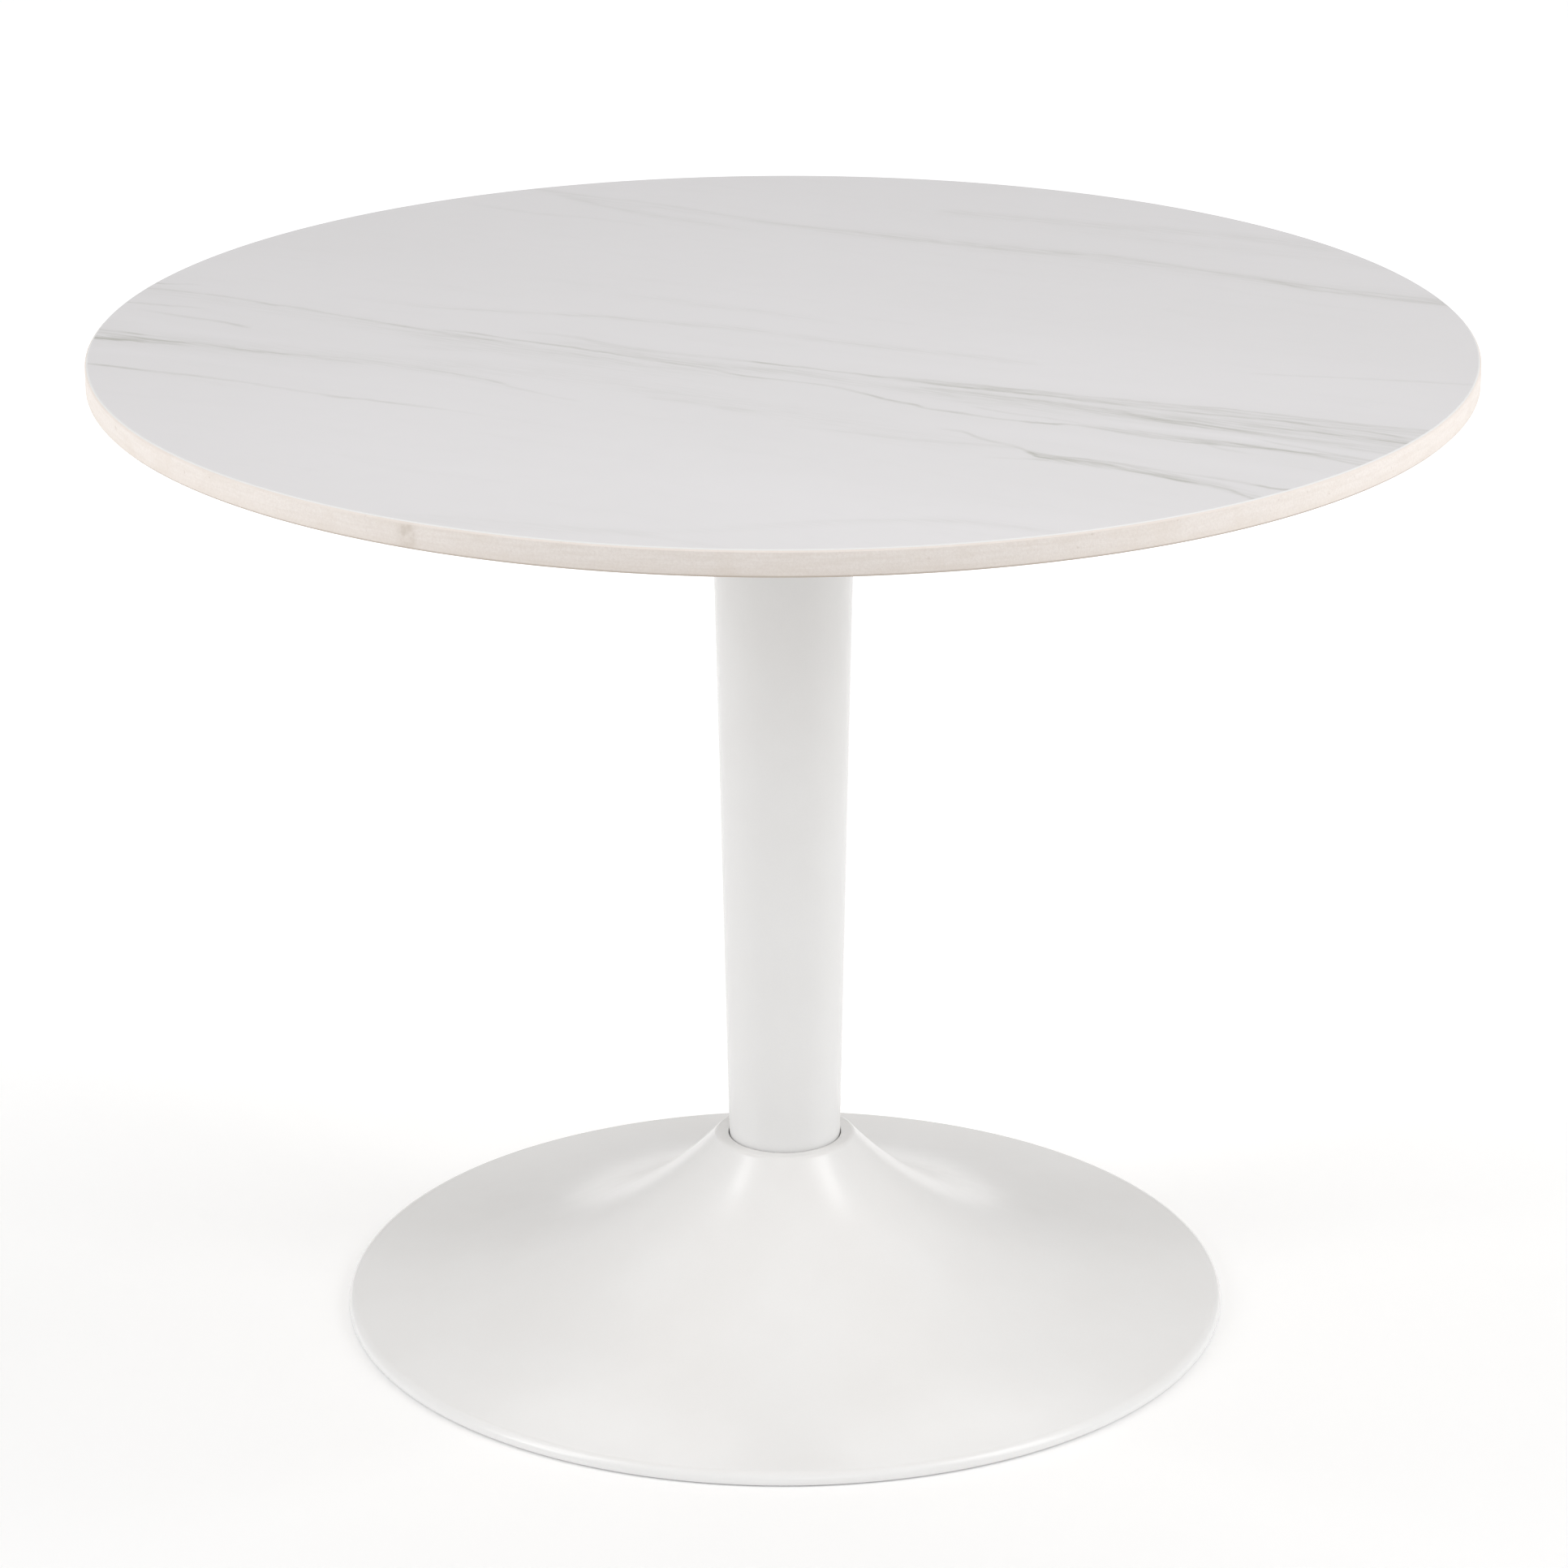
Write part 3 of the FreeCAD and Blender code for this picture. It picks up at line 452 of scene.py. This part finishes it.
def ceramic():
    """Glazed top with a marble print; the sides and the underside are the bare cream body."""
    finish = Finish("ceramic_slab", IOR=1.5)
    x, y, z = finish.axes()

    # Position along and across the veins, with the small wander of a real vein.
    along, across = turned_axes(finish, x, y, VEIN_SLOPE)
    stretched = finish.vector(finish.math("MULTIPLY", along, 0.4), across, 0.0)
    wander = finish.math("MULTIPLY_ADD", finish.noise(70, 3, stretched), 2.4 * MM, -1.2 * MM)
    jitter = finish.math("MULTIPLY_ADD", finish.noise(420, 3, stretched), 1.8 * MM, -0.9 * MM)
    bent = finish.total([across, wander, jitter])
    along_unit = finish.math("MULTIPLY_ADD", along, 1 / SPAN, 0.5)
    across_unit = finish.math("MULTIPLY_ADD", bent, 1 / SPAN, 0.5)
    streaked = finish.vector(finish.math("MULTIPLY", along, 0.15), across, 0.3)
    widen = finish.spread(finish.noise(260, 3, streaked), 0.3, 0.7, 0.85, 2.0, smooth=False)

    strokes = print_layer(finish, along_unit, across_unit, STROKES, widen)
    break_up = finish.spread(finish.noise(380, 4, streaked), 0.3, 0.7, 0.45, 1.35, smooth=False)
    dark = finish.math("MULTIPLY", strokes, finish.math("MULTIPLY", break_up, STROKE_SHARE))
    for slope, layer in WASHES.items():
        wash = print_layer(finish, along_unit, across_unit, layer)
        run, step = turned_axes(finish, x, y, math.radians(slope))
        place = finish.vector(finish.math("MULTIPLY", run, 0.08), step, 0.7)
        fibres = finish.spread(finish.noise(FIBRES, 3, place, roughness=0.6), 0.3, 0.7, 0.05, 0.95)
        fibres = finish.math("MULTIPLY", fibres, WASH_SHARE)
        dark = finish.math("MULTIPLY_ADD", wash, fibres, dark)
    pale = print_layer(finish, along_unit, across_unit, PALE)
    dark = finish.math("MULTIPLY_ADD", pale, -PALE_SHARE, dark)
    drift = finish.math("MULTIPLY_ADD", finish.noise(8, 4, stretched), 0.16, 0.02)
    veil = finish.spread(finish.noise(90, 5, streaked, roughness=0.7), 0.5, 0.8, 0.0, 0.06)
    dark = finish.total([dark, drift, veil])
    glaze = finish.mix(finish.math("MAXIMUM", dark, 0.0), GLAZE_WHITE, GLAZE_GREY)
    grain = finish.noise(1500, 2)
    glaze = finish.mix(finish.spread(grain, 0.3, 0.7, 0.0, 0.03), glaze, (0.5, 0.5, 0.5))

    # The bare body: cream, finely speckled, with faint blotches and one brownish stain.
    speckle = finish.noise(900, 4, roughness=0.7)
    blotch = finish.noise(38, 4)
    body = finish.mix(finish.spread(speckle, 0.32, 0.68), BODY_DARK, BODY_PALE)
    body = finish.mix(finish.spread(blotch, 0.5, 0.72, 0.0, 0.4), body, (0.71, 0.63, 0.56))
    flat = finish.vector(finish.math("MULTIPLY", x, 0.08), finish.math("MULTIPLY", y, 0.08), z)
    layers = finish.noise(650, 3, flat)
    body = finish.mix(finish.spread(layers, 0.4, 0.7, 0.0, 0.30), body, (0.70, 0.63, 0.57))
    dots = finish.noise(420, 1)
    body = finish.mix(finish.spread(dots, 0.72, 0.80, 0.0, 0.4), body, (0.55, 0.47, 0.41))
    stain_at = finish.node("ShaderNodeVectorMath", {0: finish.place, 1: STAIN},
                           operation="SUBTRACT").outputs[0]
    stain_off = finish.node("ShaderNodeVectorMath", {0: stain_at, 1: (1.0, 1.0, 0.5)},
                            operation="MULTIPLY").outputs[0]
    stain = finish.math("MULTIPLY",
                        finish.spread(finish.length(stain_off), 1.0 * MM, 7.0 * MM, 0.6, 0.0),
                        finish.spread(finish.noise(300, 3), 0.35, 0.65, 0.3, 1.0))
    body = finish.mix(stain, body, (0.55, 0.48, 0.41))
    top_z, rim_x = cad_high.z, cad_high.x
    slab_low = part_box("tabletop_slab")[0].z
    arris = finish.spread(z, top_z - 1.4 * MM, top_z - 0.9 * MM, 0.0, 0.6)
    body = finish.mix(arris, body, (0.76, 0.69, 0.64))
    # Painted shade: the body darkens towards the bottom of the edge, deepest in a dark brown line
    # along its lower corner.
    painted_shade = finish.spread(z, slab_low, slab_low + 6.0 * MM, 0.35, 0.0)
    body = finish.mix(painted_shade, body, (0.70, 0.62, 0.55))
    outer = finish.spread(finish.radius(), rim_x - 2.5 * MM, rim_x - 1.5 * MM)
    low_edge_shade = finish.spread(z, slab_low + 0.4 * MM, slab_low + 1.3 * MM, 0.9, 0.0)
    body = finish.mix(finish.math("MULTIPLY", low_edge_shade, outer), body, (0.52, 0.44, 0.37))

    # The underside is browner and has fine pressed ribs.
    underside = finish.spread(z, slab_low + 0.05 * MM, slab_low + 0.3 * MM, 1.0, 0.0)
    under = finish.math("MULTIPLY", underside, finish.math("SUBTRACT", 1.0, outer))
    ribs = finish.math("SINE", finish.math("MULTIPLY", y, 2 * math.pi / RIB_PITCH))
    brown = finish.math("MULTIPLY", under, finish.math("MULTIPLY_ADD", ribs, 0.10, 0.75))
    body = finish.mix(brown, body, (0.50, 0.44, 0.38))

    # The glaze ends just over the top's edge; the thin lighter line on it there is a painted
    # highlight of the bevel.
    glazed = finish.spread(z, top_z - 0.42 * MM, top_z - 0.30 * MM)
    painted_edge_highlight = finish.spread(finish.radius(), rim_x - 1.7 * MM, rim_x - 1.1 * MM)
    glaze = finish.mix(painted_edge_highlight, glaze, (0.765, 0.76, 0.75))
    finish.colour(finish.mix(glazed, body, glaze))

    gloss = finish.spread(finish.noise(60, 3), 0.3, 0.7, 0.40, 0.47, smooth=False)
    matt = finish.spread(speckle, 0.3, 0.7, 0.75, 0.92, smooth=False)
    finish.rough(finish.math("ADD", finish.math("MULTIPLY", gloss, glazed),
                             finish.math("MULTIPLY", matt, finish.math("SUBTRACT", 1.0, glazed))))
    finish.bump(finish.noise(700, 3), 0.010 * MM)
    finish.bump(finish.math("MULTIPLY", speckle, finish.math("SUBTRACT", 1.0, glazed)), 0.10 * MM)
    finish.bump(finish.math("MULTIPLY", ribs, under), 0.05 * MM)
    return finish.material


def powder_coat():
    """Satin white powder coat: fine orange peel and a faint unevenness of tone and gloss."""
    finish = Finish("white_powder_coat", IOR=1.5)
    tone = finish.noise(26, 4)
    fleck = finish.noise(1400, 2)
    paint = finish.mix(finish.spread(tone, 0.3, 0.7), (0.800, 0.796, 0.790), (0.812, 0.810, 0.806))
    paint = finish.mix(finish.spread(fleck, 0.3, 0.7, 0.0, 0.10), paint, (0.74, 0.735, 0.725))
    finish.colour(paint)
    finish.rough(finish.spread(finish.noise(90, 4), 0.3, 0.7, 0.235, 0.265, smooth=False))
    finish.bump(finish.noise(620, 2), 0.012 * MM)
    finish.bump(finish.noise(2200, 1), 0.003 * MM)
    return finish.material


def metal(name, pale, dark, rough, streak, depth):
    """Turned or plated metal: streaks round the axis, stains and fine scratches."""
    finish = Finish(name, Metallic=1.0)
    _, _, z = finish.axes()
    turned = finish.vector(finish.radius(), z, 0.0)
    rings = finish.noise(streak, 3, turned)
    stains = finish.noise(160, 4)
    colour = finish.mix(finish.spread(stains, 0.35, 0.65), pale, dark)
    finish.colour(finish.mix(finish.spread(rings, 0.35, 0.65, 0.0, 0.35), colour, dark))
    patches = finish.spread(stains, 0.3, 0.7, -0.05, 0.08, smooth=False)
    finish.rough(finish.math("ADD", finish.spread(rings, 0.3, 0.7, rough, rough + 0.12), patches))
    finish.bump(rings, depth * MM)
    finish.bump(finish.noise(1100, 3), 0.5 * depth * MM)
    return finish.material


def casting():
    """Sand-cast iron dipped in black: coarse skin with pits."""
    finish = Finish("ballast_iron")
    grains = finish.noise(700, 5, roughness=0.65)
    pits = finish.cells(190.0)
    skin = finish.spread(grains, 0.35, 0.7)
    colour = finish.mix(skin, (0.035, 0.035, 0.038), (0.085, 0.08, 0.078))
    rust = finish.spread(finish.noise(45, 5), 0.6, 0.75, 0.0, 0.4)
    finish.colour(finish.mix(rust, colour, (0.16, 0.09, 0.055)))
    finish.rough(finish.spread(grains, 0.3, 0.7, 0.55, 0.85, smooth=False))
    finish.bump(grains, 0.35 * MM)
    finish.bump(finish.spread(pits, 0.0, 0.25), 0.25 * MM)
    return finish.material


def black_paint():
    """Matt black spray paint on sheet steel, a little dusty."""
    finish = Finish("black_paint")
    peel = finish.noise(800, 3)
    dust = finish.noise(70, 6, roughness=0.65)
    colour = finish.mix(finish.spread(peel, 0.3, 0.7), (0.022, 0.022, 0.023), (0.034, 0.034, 0.035))
    finish.colour(finish.mix(finish.spread(dust, 0.5, 0.75, 0.0, 0.3), colour, (0.16, 0.15, 0.14)))
    finish.rough(finish.spread(dust, 0.3, 0.7, 0.42, 0.68, smooth=False))
    finish.bump(peel, 0.05 * MM)
    return finish.material


def foam():
    """Closed-cell foam: grey, with small cells."""
    finish = Finish("grey_foam")
    cells = finish.cells(1500.0)
    tone = finish.noise(120, 3)
    colour = finish.mix(finish.spread(cells, 0.1, 0.6), (0.12, 0.12, 0.125), (0.27, 0.27, 0.28))
    finish.colour(finish.mix(finish.spread(tone, 0.4, 0.7, 0.0, 0.3), colour, (0.2, 0.2, 0.2)))
    finish.rough(finish.spread(tone, 0.3, 0.7, 0.82, 0.95, smooth=False))
    finish.bump(cells, 0.15 * MM)
    return finish.material


def rubber():
    """Moulded dark rubber with dust on its face."""
    finish = Finish("dark_rubber")
    skin = finish.noise(1000, 4)
    dust = finish.noise(55, 5, roughness=0.7)
    colour = finish.mix(finish.spread(skin, 0.3, 0.7), (0.040, 0.034, 0.029), (0.062, 0.052, 0.044))
    finish.colour(finish.mix(finish.spread(dust, 0.5, 0.8, 0.0, 0.25), colour, (0.22, 0.19, 0.16)))
    finish.rough(finish.spread(dust, 0.3, 0.7, 0.6, 0.85, smooth=False))
    finish.bump(skin, 0.06 * MM)
    return finish.material


finishes = {
    "ceramic_slab": ceramic(),
    "white_powder_coat": powder_coat(),
    "brass_insert": metal("brass_insert", (0.80, 0.58, 0.27), (0.60, 0.40, 0.17), 0.28, 2500, 0.02),
    "zinc_screw": metal("zinc_screw", (0.66, 0.67, 0.70), (0.52, 0.52, 0.50), 0.26, 1800, 0.012),
    "zinc_washer": metal("zinc_washer", (0.62, 0.63, 0.65), (0.47, 0.47, 0.45), 0.32, 1400, 0.02),
    "bare_steel": metal("bare_steel", (0.50, 0.49, 0.48), (0.33, 0.31, 0.29), 0.30, 2200, 0.03),
    "dark_steel": metal("dark_steel", (0.14, 0.14, 0.15), (0.07, 0.065, 0.06), 0.38, 2200, 0.03),
    "ballast_iron": casting(),
    "black_paint": black_paint(),
    "grey_foam": foam(),
    "dark_rubber": rubber(),
}

node_slots = {}
for name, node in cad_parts.items():
    slot = node.material_slots[0].material.name
    node_slots[name] = slot
    node.material_slots[0].material = finishes[slot]


def stand_for(piece, node):
    """The piece takes a CAD node's place, with its finish."""
    piece.data.materials.clear()
    piece.data.materials.append(finishes[node_slots[node]])
    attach(piece, "root")
    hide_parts(node)


# ---------------------------------------------------------------- tabletop

SLAB_RADIUS = 299.9
SLAB_LOW, SLAB_HIGH = 438.6, 450.0
ARRIS = 1.0
INSERT_PITCH = 80.0
INSERT_HOLE_RADIUS, INSERT_HOLE_DEPTH = 5.05, 8.5
CUT_OVERRUN = 2.0

slab = lathe("slab", rounded([
    (0, SLAB_LOW, 0),
    (SLAB_RADIUS - ARRIS, SLAB_LOW, 0.7),
    (SLAB_RADIUS, SLAB_LOW + ARRIS, 0.7),
    (SLAB_RADIUS, SLAB_HIGH - ARRIS, 0.5),
    (SLAB_RADIUS - ARRIS, SLAB_HIGH, 0.5),
    (0, SLAB_HIGH, 0),
]))
hole_low, hole_high = SLAB_LOW - CUT_OVERRUN, SLAB_LOW + INSERT_HOLE_DEPTH
hole = [
    (0, hole_low),
    (INSERT_HOLE_RADIUS, hole_low),
    (INSERT_HOLE_RADIUS, hole_high),
    (0, hole_high),
]
holes = []
for x, y in ((1, 0), (0, 1), (-1, 0), (0, -1)):
    holes.append(lathe("hole", hole, 48, (x * INSERT_PITCH, y * INSERT_PITCH)))
cut(slab, holes)
stand_for(slab, "tabletop_slab")


# ---------------------------------------------------------------- column

COLUMN_LOW, COLUMN_HIGH = 60.0, 432.6
COLUMN_FOOT_RADIUS, COLUMN_TOP_RADIUS = 24.6, 32.4
COLUMN_WALL = 2.0

column = lathe("column", rounded([
    (COLUMN_FOOT_RADIUS - COLUMN_WALL, COLUMN_LOW, 0.3),
    (COLUMN_FOOT_RADIUS, COLUMN_LOW, 0.3),
    (COLUMN_TOP_RADIUS, COLUMN_HIGH, 0),
    (COLUMN_TOP_RADIUS - COLUMN_WALL, COLUMN_HIGH, 0),
]))
stand_for(column, "column_tube")


# ---------------------------------------------------------------- trumpet base

SHEET = 2.0
BASE_RADIUS = 199.0
RIM_ROUND = 4.0
RIM_CENTRE = (BASE_RADIUS - RIM_ROUND, 2.0)
RIM_EDGE = 0.8
RIM_SLOPE, SKIRT_SLOPE, HUB_SLOPE = 3.0, 14.0, 49.4
SKIRT_CURVE, FLARE_CURVE = 315.0, 200.0
LIP_ROUND = 3.0
HOLE_RADIUS, HOLE_ROUND = 25.4, 0.5


def on_slope(centre, radius, slope):
    """The point of a hollow arc where it has this slope; its centre is above it."""
    turn = math.radians(slope)
    return (centre[0] - radius * math.sin(turn), centre[1] - radius * math.cos(turn))


def hollow(centre, radius, first, last, steps):
    return [on_slope(centre, radius, first + (last - first) * k / steps) for k in range(steps + 1)]


def above(point, radius, slope):
    """Centre of the hollow arc that passes the point with this slope."""
    turn = math.radians(slope)
    return (point[0] + radius * math.sin(turn), point[1] + radius * math.cos(turn))


def trumpet():
    rim_joint = arc(RIM_CENTRE, RIM_ROUND, 90 - RIM_SLOPE, 90, 1)[0]
    skirt_centre = above(rim_joint, SKIRT_CURVE, RIM_SLOPE)
    skirt_joint = on_slope(skirt_centre, SKIRT_CURVE, SKIRT_SLOPE)
    flare_centre = above(skirt_joint, FLARE_CURVE, SKIRT_SLOPE)
    flare_joint = on_slope(flare_centre, FLARE_CURVE, HUB_SLOPE)
    turn = math.radians(HUB_SLOPE)
    crest = flare_joint[0] - LIP_ROUND * math.sin(turn)
    lip_centre = (crest, flare_joint[1] - LIP_ROUND * math.cos(turn))
    hub_high = lip_centre[1] + LIP_ROUND
    lip_low = hub_high - SHEET

    def edge_angle(radius):
        return math.degrees(math.asin((RIM_EDGE - RIM_CENTRE[1]) / radius))

    outside = arc(RIM_CENTRE, RIM_ROUND, edge_angle(RIM_ROUND), 90 - RIM_SLOPE, 16)
    outside += hollow(skirt_centre, SKIRT_CURVE, RIM_SLOPE, SKIRT_SLOPE, 14)[1:]
    outside += hollow(flare_centre, FLARE_CURVE, SKIRT_SLOPE, HUB_SLOPE, 32)[1:]
    outside += arc(lip_centre, LIP_ROUND, 90 - HUB_SLOPE, 90, 10)[1:]
    outside += arc((HOLE_RADIUS + HOLE_ROUND, hub_high - HOLE_ROUND), HOLE_ROUND, 90, 180, 8)
    inside = [(HOLE_RADIUS, lip_low)]
    inside += arc(lip_centre, LIP_ROUND - SHEET, 90, 90 - HUB_SLOPE, 8)
    inside += hollow(flare_centre, FLARE_CURVE + SHEET, HUB_SLOPE, SKIRT_SLOPE, 32)[1:]
    inside += hollow(skirt_centre, SKIRT_CURVE + SHEET, SKIRT_SLOPE, RIM_SLOPE, 14)[1:]
    inner_rim = RIM_ROUND - SHEET
    inside += arc(RIM_CENTRE, inner_rim, 90 - RIM_SLOPE, edge_angle(inner_rim), 12)[1:]
    return outside + inside


shell = lathe("trumpet_base", trumpet())
stand_for(shell, "base_shell")


# ---------------------------------------------------------------- floor, light, camera

LIGHT_DISTANCE = 2.6
AIM_HEIGHT = 0.2
WORLD_STRENGTH = 0.45
FLOOR_HALF_WIDTH = 30.0
CAMERA_PLACE = (0, -2.4185, 1.1171)
CAMERA_LENS = 132.95
CAMERA_DOWN, CAMERA_ROLL = 19.79, -0.13


def floor():
    """A pale floor, darker in front of the table, that glows softly behind it and far out."""
    bm = bmesh.new()
    bmesh.ops.create_grid(bm, x_segments=24, y_segments=24, size=FLOOR_HALF_WIDTH)
    piece = finish_mesh(bm, "studio_floor")
    finish = Finish("studio_floor", IOR=1.3)
    tone = finish.noise(1.3, 3)
    x, y, _ = finish.axes()
    near = finish.mix(tone, (0.64, 0.64, 0.64), (0.66, 0.66, 0.66))
    far = finish.mix(tone, (0.86, 0.86, 0.86), (0.88, 0.88, 0.88))
    in_front = finish.math("MULTIPLY", finish.spread(y, -0.9, -0.3, 1.0, 0.0),
                           finish.spread(y, -5.0, -2.0))
    finish.colour(finish.mix(in_front, far, near))
    finish.rough(finish.spread(finish.noise(30, 3), 0.3, 0.7, 0.8, 0.9, smooth=False))
    finish.bump(finish.noise(400, 2), 0.05 * MM)
    finish.shader.inputs["Emission Color"].default_value = (1.0, 1.0, 1.0, 1.0)
    behind = finish.math("MULTIPLY", finish.spread(y, -0.8, 1.4, 0.0, 0.5),
                         finish.spread(y, 3.0, 5.0, 1.0, 0.0))
    beside = finish.spread(finish.math("ABSOLUTE", x), 1.8, 3.6, 0.0, 0.35)
    ahead = finish.spread(y, -9.0, -4.0, 0.35, 0.0)
    finish.feed(finish.shader.inputs["Emission Strength"], finish.total([behind, beside, ahead]))
    finish.material.cycles.emission_sampling = "NONE"
    piece.data.materials.append(finish.material)


def softbox(name, azimuth, elevation, width, height, power, roll=0.0):
    """A light that faces the table; its azimuth is counted from the front, to the right."""
    a, e = math.radians(azimuth), math.radians(elevation)
    back = Vector((math.sin(a) * math.cos(e), -math.cos(a) * math.cos(e), math.sin(e)))
    data = bpy.data.lights.new(name, "AREA")
    data.shape = "RECTANGLE"
    data.size, data.size_y = width, height
    data.energy = power
    light = bpy.data.objects.new(name, data)
    light.location = Vector((0, 0, AIM_HEIGHT)) + back * LIGHT_DISTANCE
    light.rotation_mode = "QUATERNION"
    lean = Quaternion((0, 0, 1), math.radians(roll))
    light.rotation_quaternion = back.to_track_quat("Z", "Y") @ lean
    light.visible_camera = False
    bpy.context.scene.collection.objects.link(light)


def studio():
    world = bpy.data.worlds.new("studio")
    world.use_nodes = True
    background = world.node_tree.nodes["Background"]
    background.inputs["Color"].default_value = (1.0, 1.0, 1.0, 1.0)
    background.inputs["Strength"].default_value = WORLD_STRENGTH
    bpy.context.scene.world = world
    softbox("left_low_softbox", -65, 18, 1.0, 1.0, 15.3)
    softbox("left_softbox", -65, 40, 1.0, 1.0, 10.0)
    softbox("left_strip", -71, 51, 1.0, 0.12, 3.2, roll=28)
    softbox("right_low_softbox", 65, 18, 1.0, 1.0, 11.0)
    softbox("right_softbox", 65, 40, 1.2, 1.2, 17.2)
    softbox("right_strip", 71, 51, 0.9, 0.12, 2.8, roll=-28)
    softbox("front_softbox", 12, 24, 1.0, 1.0, 4.1)
    softbox("rear_right_softbox", 110, 60, 2.0, 2.0, 5.5)
    softbox("rear_left_softbox", -110, 60, 2.0, 2.0, 5.0)
    softbox("rear_softbox", 180, 40, 1.0, 1.0, 4.0)


def camera():
    data = bpy.data.cameras.new("camera")
    data.sensor_width = 36.0
    data.lens = CAMERA_LENS
    data.clip_end = 100.0
    eye = bpy.data.objects.new("camera", data)
    pitch, roll = math.radians(90 - CAMERA_DOWN), math.radians(CAMERA_ROLL)
    turn = Matrix.Rotation(pitch, 4, "X") @ Matrix.Rotation(roll, 4, "Z")
    eye.matrix_world = Matrix.Translation(CAMERA_PLACE) @ turn
    bpy.context.scene.collection.objects.link(eye)
    bpy.context.scene.camera = eye


floor()
studio()
camera()
bpy.context.scene.view_settings.view_transform = "Standard"
